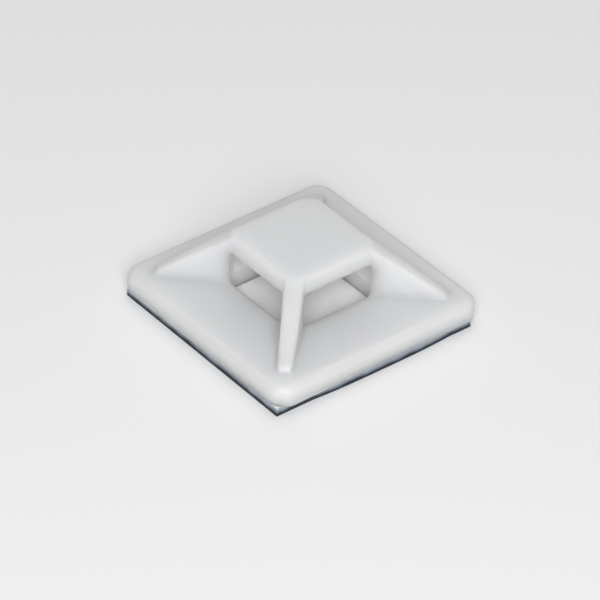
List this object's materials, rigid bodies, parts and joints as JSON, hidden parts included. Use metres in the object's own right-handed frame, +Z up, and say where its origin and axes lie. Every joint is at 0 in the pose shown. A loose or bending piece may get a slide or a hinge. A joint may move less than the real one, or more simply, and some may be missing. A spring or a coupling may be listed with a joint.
{
  "type": "cable tie mount",
  "caption": "Square self-adhesive four-way cable tie mount: nylon base, raised plate on diagonal legs over tie windows, foam pad with release liner.",
  "frame": {"origin": "middle of the base's outline, at the underside of the release liner", "axes": "+Z up through the plate, square to the surface it is stuck to; X and Y along the base's sides, through the tie windows"},
  "size_m": [0.0286, 0.0286, 0.0097],
  "materials": {
    "natural_nylon": "milky, slightly see-through moulded nylon with a satin surface",
    "foam_tape": "closed-cell foam with an adhesive coat on both faces",
    "liner_film": "thin smooth release film"
  },
  "bodies": {
    "root": {"mount_body": "natural_nylon", "foam_pad": "foam_tape", "release_liner": "liner_film"}
  },
  "joints": []
}
